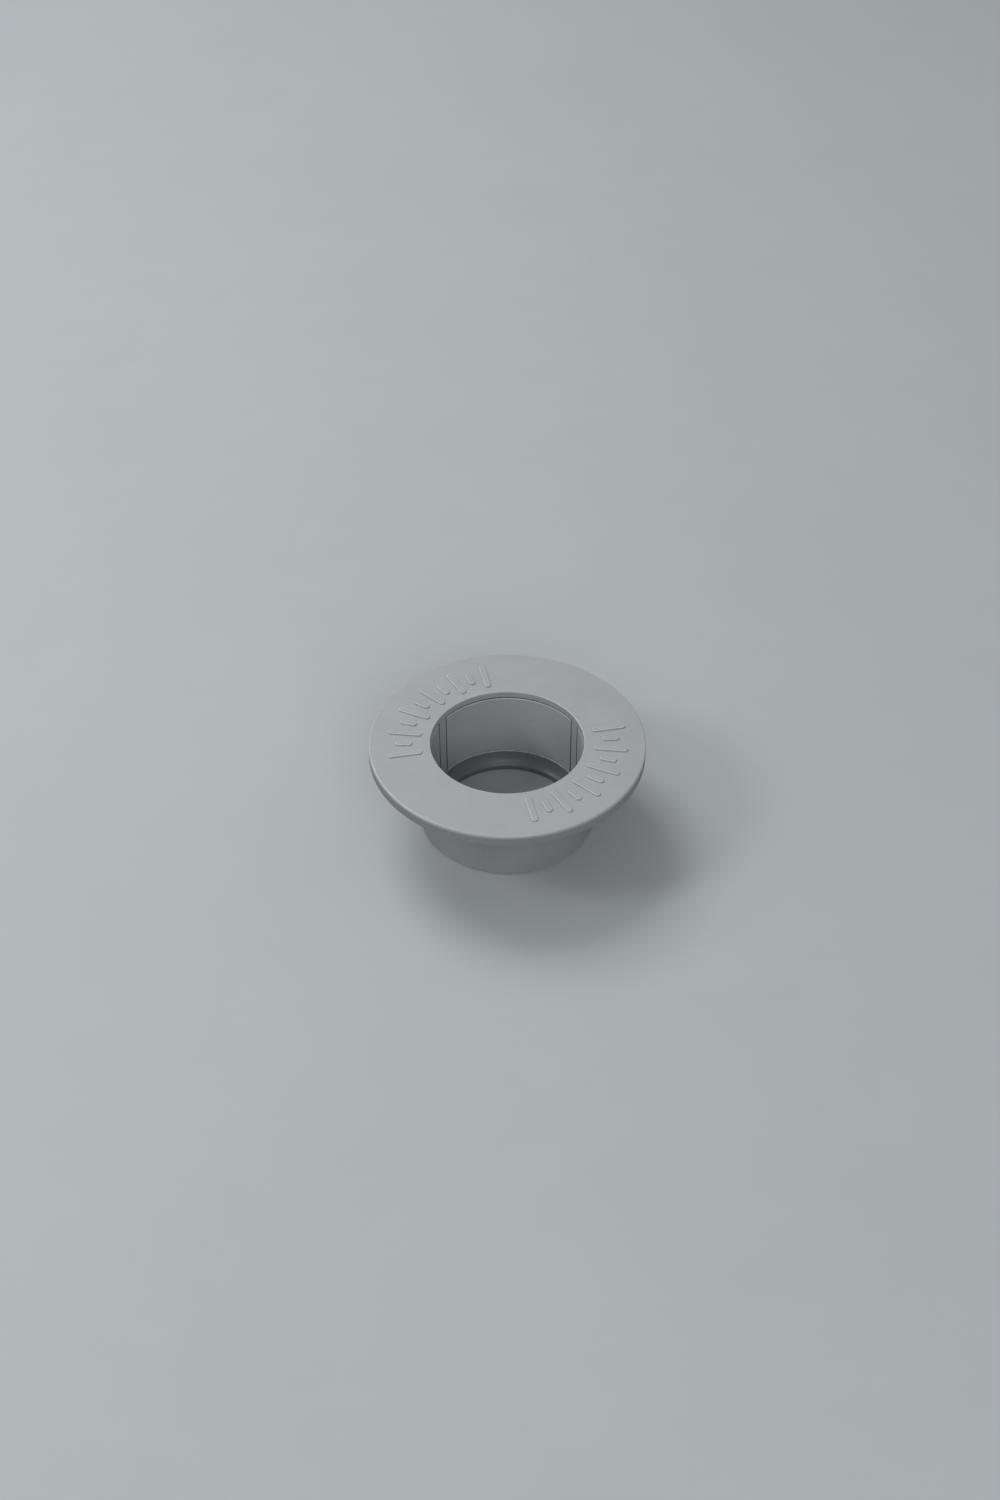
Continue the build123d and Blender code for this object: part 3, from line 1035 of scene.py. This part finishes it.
@dataclass
class FixingScrews:
    """Three countersunk machine screws with cross recesses and cut threads."""

    span: Span
    circle: float
    angles: tuple[float, ...]
    material: bpy.types.Material
    steps: int = 64
    head_radius: float = 4.0 * MM
    head_rim: float = 0.25 * MM
    head_round: float = 0.1 * MM
    neck_radius: float = 1.8 * MM
    neck_low: float = 4.2 * MM
    neck_cone: float = 0.3 * MM
    core_radius: float = 1.62 * MM
    tip_chamfer: float = 0.5 * MM
    crest_radius: float = 1.98 * MM
    root_radius: float = 1.57 * MM
    thread_start: float = 0.6 * MM
    pitch: float = 0.7 * MM
    tooth: tuple[float, float, float] = (0.40, 0.52, 0.92)
    turn_steps: int = 28
    recess_radius: float = 2.2 * MM
    recess_width: float = 0.9 * MM
    recess_depth: float = 1.3 * MM
    recess_taper: tuple[float, float] = (0.45, 0.75)
    first_turn: float = 23.0
    next_turn: float = 41.0

    OWN_AXIS = "own_axis"

    def _blank(self) -> bpy.types.Object:
        """The turned blank on the bore axis: head, shank, thread core and tip."""
        top, tip = self.span.high, self.span.low
        head, neck, core = self.head_radius, self.neck_radius, self.core_radius
        rim, neck_end = top - self.head_rim, top - self.neck_low
        bm = bmesh.new()
        path = [
            (0.0, top), (head, top), (head, rim), (neck, rim - (head - neck)), (neck, neck_end),
            (core, neck_end - self.neck_cone), (core, tip + self.tip_chamfer),
            (core - self.tip_chamfer, tip), (0.0, tip),
        ]
        verts = [bm.verts.new((r, 0, z)) for r, z in path]
        edges = [bm.edges.new(pair) for pair in zip(verts, verts[1:])]
        Shop.spun(bm, verts + edges, self.steps)
        Shop.bevel(bm, Shop.circles(bm, head, top), self.head_round, segments=2)
        return Shop.loose(bm, "screw_blank")

    def _cutter(self) -> bpy.types.Object:
        """The tapering cross that the driver's recess is cut with."""
        bm = bmesh.new()
        size = (2 * self.recess_radius, self.recess_width, 2 * self.recess_depth)
        for quarter in (0, 1):
            bar = bmesh.ops.create_cube(bm, size=1.0)["verts"]
            across = Matrix.Rotation(quarter * math.pi / 2, 3, "Z")
            bmesh.ops.scale(bm, verts=bar, vec=size)
            deep = [v for v in bar if v.co.z < 0]
            bmesh.ops.scale(bm, verts=deep, vec=(*self.recess_taper, 1.0))
            bmesh.ops.rotate(bm, verts=bar, cent=(0, 0, 0), matrix=across)
        bmesh.ops.translate(bm, verts=bm.verts[:], vec=(0, 0, self.span.high))
        return Shop.loose(bm, "recess_cross")

    def _cut_blank(self) -> bmesh.types.BMesh:
        """The blank with its driver's recess, after both helper objects are removed."""
        blank, cross = self._blank(), self._cutter()
        cut = blank.modifiers.new("recess", "BOOLEAN")
        cut.operation = "DIFFERENCE"
        cut.solver = "EXACT"
        cut.use_self = True
        cut.object = cross
        bpy.context.view_layer.update()
        solved = blank.evaluated_get(bpy.context.evaluated_depsgraph_get())
        done = bpy.data.meshes.new_from_object(solved)
        bm = bmesh.new()
        bm.from_mesh(done)
        bpy.data.meshes.remove(done)
        for helper in (blank, cross):
            mesh = helper.data
            bpy.data.objects.remove(helper)
            bpy.data.meshes.remove(mesh)
        return bm

    def _thread(self) -> bmesh.types.BMesh:
        """The helical ridge of the thread, closed at both ends."""
        bm = bmesh.new()
        low, high = self.span.low + self.thread_start, self.span.high - self.neck_low
        turns = math.floor((high - low) / self.pitch) - 1
        rise, fall, end = (low + self.pitch * share for share in self.tooth)
        root, crest = self.root_radius, self.crest_radius
        geom = Shop.section(bm, [(root, low), (crest, rise), (crest, fall), (root, end)])
        bmesh.ops.spin(
            bm, geom=geom, axis=(0, 0, 1), cent=(0, 0, 0), dvec=(0, 0, self.pitch / self.turn_steps),
            angle=TURN * turns, steps=turns * self.turn_steps, use_merge=False,
        )
        bmesh.ops.holes_fill(bm, edges=[e for e in bm.edges if e.is_boundary], sides=4)
        bmesh.ops.recalc_face_normals(bm, faces=bm.faces[:])
        return bm

    def build(self) -> bpy.types.Object:
        """Builds the three screws, each driven to its own turn, and dresses them.

        Returns:
            The piece, which rides on the base.
        """
        single = self._cut_blank()
        Shop.merged(single, self._thread())
        axis = single.verts.layers.float_vector.new(self.OWN_AXIS)
        for v in single.verts:
            v[axis] = v.co
        pattern = bpy.data.meshes.new("one_screw")
        single.to_mesh(pattern)
        single.free()
        bm = bmesh.new()
        for i, angle in enumerate(self.angles):
            known = len(bm.verts)
            bm.from_mesh(pattern)
            bm.verts.ensure_lookup_table()
            place = turned(angle, self.circle) @ turned(self.first_turn + self.next_turn * i)
            bmesh.ops.transform(bm, matrix=place, verts=bm.verts[known:])
        bpy.data.meshes.remove(pattern)
        piece = Shop.piece(bm, "fixing_screws_steel", self.material, smooth=35.0)
        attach(piece, "base")
        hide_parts("fixing_screws")
        return piece


# ---------------------------------------------------------------------------- studio


@dataclass(frozen=True)
class Softbox:
    """A square soft light: its place and its side in metres, and its power in watts."""

    name: str
    place: tuple[float, float, float]
    side: float
    power: float


@dataclass
class Studio:
    """Floor, lights and camera."""

    top: float
    floor_material: bpy.types.Material
    azimuth: float = 2.0
    elevation: float = 41.05
    distance: float = 0.800
    lens: float = 53.3
    sensor: float = 36.0
    shift: tuple[float, float] = (-0.0048, -0.0059)
    nearest: float = 0.01
    floor_radius: float = 1.5
    sky: tuple[float, float, float, float] = (0.95, 0.98, 1.0, 1.0)
    sky_strength: float = 0.35
    lights: tuple[Softbox, ...] = (
        Softbox("key", (-0.63, 0.81, 1.24), 0.8, 12.7),
        Softbox("front_fill", (0.28, -1.31, 0.88), 0.9, 8.7),
        Softbox("left_fill", (-1.22, -0.28, 1.02), 0.4, 6.4),
    )

    def _floor(self) -> None:
        """Lays a plain floor at the sleeve's foot."""
        bm = bmesh.new()
        bmesh.ops.create_circle(bm, cap_ends=True, segments=180, radius=self.floor_radius)
        made = Shop.loose(bm, "floor")
        made.data.materials.append(self.floor_material)

    @staticmethod
    def _hang(box: Softbox, aim: Vector) -> None:
        """Hangs a soft light.

        Args:
            box: The light.
            aim: The point that it faces.
        """
        light = bpy.data.lights.new(box.name, "AREA")
        light.shape = "SQUARE"
        light.size = box.side
        light.energy = box.power
        made = bpy.data.objects.new(box.name, light)
        made.location = box.place
        made.rotation_euler = (aim - Vector(box.place)).to_track_quat("-Z", "Y").to_euler()
        bpy.context.scene.collection.objects.link(made)

    def _world(self) -> None:
        """Fills the surroundings with pale light."""
        world = bpy.data.worlds.new("studio")
        world.use_nodes = True
        background = world.node_tree.nodes["Background"]
        background.inputs["Color"].default_value = self.sky
        background.inputs["Strength"].default_value = self.sky_strength
        bpy.context.scene.world = world

    def _camera(self, aim: Vector) -> None:
        """Sets up the camera so that it faces a point."""
        camera = bpy.data.cameras.new("camera")
        camera.lens = self.lens
        camera.sensor_width = self.sensor
        camera.shift_x, camera.shift_y = self.shift
        camera.clip_start = self.nearest
        made = bpy.data.objects.new("camera", camera)
        turn, rise = math.radians(self.azimuth), math.radians(self.elevation)
        level = math.cos(rise)
        way = Vector((math.sin(turn) * level, -math.cos(turn) * level, math.sin(rise)))
        made.location = aim + way * self.distance
        made.rotation_euler = (-way).to_track_quat("-Z", "Y").to_euler()
        bpy.context.scene.collection.objects.link(made)
        bpy.context.scene.camera = made

    def build(self) -> None:
        """Sets up the floor, the lights, the world and the camera."""
        bpy.context.scene.view_settings.view_transform = "Standard"
        self._floor()
        aim = Vector((0, 0, self.top))
        for box in self.lights:
            self._hang(box, aim)
        self._world()
        self._camera(aim)


# ---------------------------------------------------------------------------- the whole insert


@dataclass
class Insert:
    """The whole insert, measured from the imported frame."""

    frame: dict
    effects: SharedEffects
    screw_angles: tuple[float, ...] = (90.0, 210.0, 330.0)
    panel_sides: tuple[tuple[str, float], ...] = (("back", 90.0), ("left", 210.0), ("right", 330.0))
    joint_start: float = 0.08 * MM
    joint_end: float = 1.2 * MM
    joint_fade: float = 0.1 * MM
    joint_amount: float = 0.95
    spans: dict[str, Span] = field(default_factory=dict)

    def measure(self) -> None:
        """Takes each node's span from the frame."""
        self.spans = {name: Span.of(node) for name, node in self.frame["nodes"].items()}

    def _mount(self, name: str) -> dict:
        """A mount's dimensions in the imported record, by name."""
        return next(m for m in self.frame["record"]["mounts"] if m["name"] == name)["dims"]

    def _peg_heights(self, lining_outer: float) -> tuple[float, float]:
        """The heights of a wall panel's pegs.

        Args:
            lining_outer: Radius of the panel's back.

        Returns:
            The heights of the lower and the upper axis.
        """
        vertices = self.frame["nodes"]["wall_panel_back"].data.vertices
        radius = WallPanel.peg_radius
        heights = [v.co.z for v in vertices if reach(v) > lining_outer + radius / 4]
        return min(heights) + radius, max(heights) - radius

    def _painted_joint_shade(self, bore: float, top: float) -> ShadeBand:
        """Painted shade in the joints behind the bore's face, up to a height."""
        start, end = bore + self.joint_start, bore + self.joint_end
        return ShadeBand(start, end, top, self.joint_fade, self.joint_amount)

    def _cover_plastic(self, top: float) -> bpy.types.Material:
        """The cover's finish: rubbed rim and bore edge, a painted highlight round the rays' crowns that
        also stands for rubbing, painted shade in the joint under the plate and painted shade low on the
        rim.
        """
        bore, rim = self.spans["cover_ring"].inner, self.spans["cover_ring"].outer
        return MouldedPlastic(
            "cover_plastic", Tone.COVER_GREY, tone_swing=0.03, crown_rub_and_highlight_layer=CoverRing.CROWN_RUB_AND_HIGHLIGHT,
            edges=(
                RoundEdge(rim - 0.2 * MM, top - 0.2 * MM, 0.55 * MM),
                RoundEdge(bore, top, 0.5 * MM),
            ),
            painted_shade=(
                # Painted shade in the joint under the cover's plate.
                self._painted_joint_shade(bore, top - CoverRing.plate),
                # Painted shade on the rim's side, darker towards its foot.
                ShadeBand(rim - 0.3 * MM, rim + 1.0 * MM, top - 1.7 * MM, 1.0 * MM, 0.42),
            ),
        ).build(self.effects)

    def _panel_plastic(self, bore: float, top: float) -> bpy.types.Material:
        """The wall panels' finish: finer grain, pole marks, painted highlight lines on the top and lower
        edges, and painted shade in the joints.
        """
        panel = self.spans["wall_panel_back"]
        return MouldedPlastic(
            "panel_plastic", Tone.PANEL_LIT_GREY, roughness=0.4, rubbing=0.25, grain_depth=0.000006,
            # Painted highlight lines on the panels' rounded top and lower edges.
            edges=(
                RoundEdge(bore, panel.high - 0.3 * MM, 0.3 * MM, gain=1.6),
                RoundEdge(bore, panel.low, 0.4 * MM, gain=1.4),
            ),
            # Painted shade in the gaps round the panels.
            painted_shade=(self._painted_joint_shade(bore, top),),
        ).build(self.effects)

    def _collar_plastic(self, bore: float) -> bpy.types.Material:
        """The collar's finish: a darker tone that paints the shade at the bore's foot, a rubbed land and a
        painted highlight line on the mouth.
        """
        collar = self.spans["guide_collar"]
        return MouldedPlastic(
            "collar_plastic", Tone.COLLAR_SHADED_GREY, roughness=0.42, rubbing=0.35, grain_depth=0.000008,
            edges=(
                RoundEdge(collar.inner, GuideCollar.land, 0.7 * MM, gain=1.15),
                # Painted highlight line on the collar's mouth edge.
                RoundEdge(bore, collar.high, 0.5 * MM, gain=3.6),
            ),
        ).build(self.effects)

    def _sleeve_plastic(self) -> bpy.types.Material:
        """The sleeve's finish: coarser grain, with a rubbed flange and foot."""
        sleeve, spigot = self.spans["base_sleeve"], self._mount("table_spigot")["r_mm"] * MM
        return MouldedPlastic(
            "sleeve_plastic", Tone.SLEEVE_GREY, roughness=0.5, grain_scale=2200.0, grain_depth=0.00002,
            edges=(RoundEdge(sleeve.outer, sleeve.high, 0.5 * MM), RoundEdge(spigot, 0.0, 1.2 * MM)),
        ).build(self.effects)

    def _dress_sleeve(self) -> None:
        """Dresses the CAD's own sleeve."""
        sleeve = self.frame["nodes"]["base_sleeve"]
        sleeve.data.materials.clear()
        sleeve.data.materials.append(self._sleeve_plastic())

    def _seals(self, circle: float) -> Seals:
        """The seals, with their finishes."""
        grip = SoftRubber("grip_rubber", Tone.GRIP_BLACK, roughness=0.5, pore_depth=0.00001)
        return Seals(
            self.spans["flange_gasket"], self.spans["cover_grip_ring"], circle, self.screw_angles,
            SoftRubber("gasket_rubber", Tone.SEAL_BLACK).build(self.effects), grip.build(self.effects),
        )

    def build(self) -> None:
        """Builds every piece in order, and the studio round them."""
        cover, panel = self.spans["cover_ring"], self.spans["wall_panel_back"]
        bore, top = cover.inner, cover.high - CoverRing.ray_height
        lining_outer = bore + WallPanel.wall
        circle = self._mount("fixing_studs")["pcd_mm"] * MM / 2
        gap = top - CoverRing.plate - panel.high
        offset = CoverRing.leg_width / 2 + gap
        pegs = self._peg_heights(lining_outer)
        plastic = self._cover_plastic(top)
        CoverRing(cover, self.spans["base_sleeve"].high, lining_outer, plastic).build()
        lining = self._panel_plastic(bore, top)
        for side, angle in self.panel_sides:
            node = f"wall_panel_{side}"
            WallPanel(node, angle, panel, lining_outer, lining, offset, pegs).build()
        GuideCollar(self.spans["guide_collar"], bore, self._collar_plastic(bore)).build()
        seals = self._seals(circle)
        seals.build_gasket()
        seals.build_grip()
        steel = TurnedSteel("screw_steel", Tone.STAINLESS).build(self.effects)
        FixingScrews(self.spans["fixing_screws"], circle, self.screw_angles, steel).build()
        self._dress_sleeve()
        Studio(top, PowderFloor("floor_powder", Tone.FLOOR_GREY).build(self.effects)).build()


def main() -> None:
    """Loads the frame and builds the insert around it."""
    logging.basicConfig(level=logging.INFO, format="%(message)s")
    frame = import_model()
    insert = Insert(frame, SharedEffects())
    insert.measure()
    insert.build()


if __name__ == "__main__":
    main()
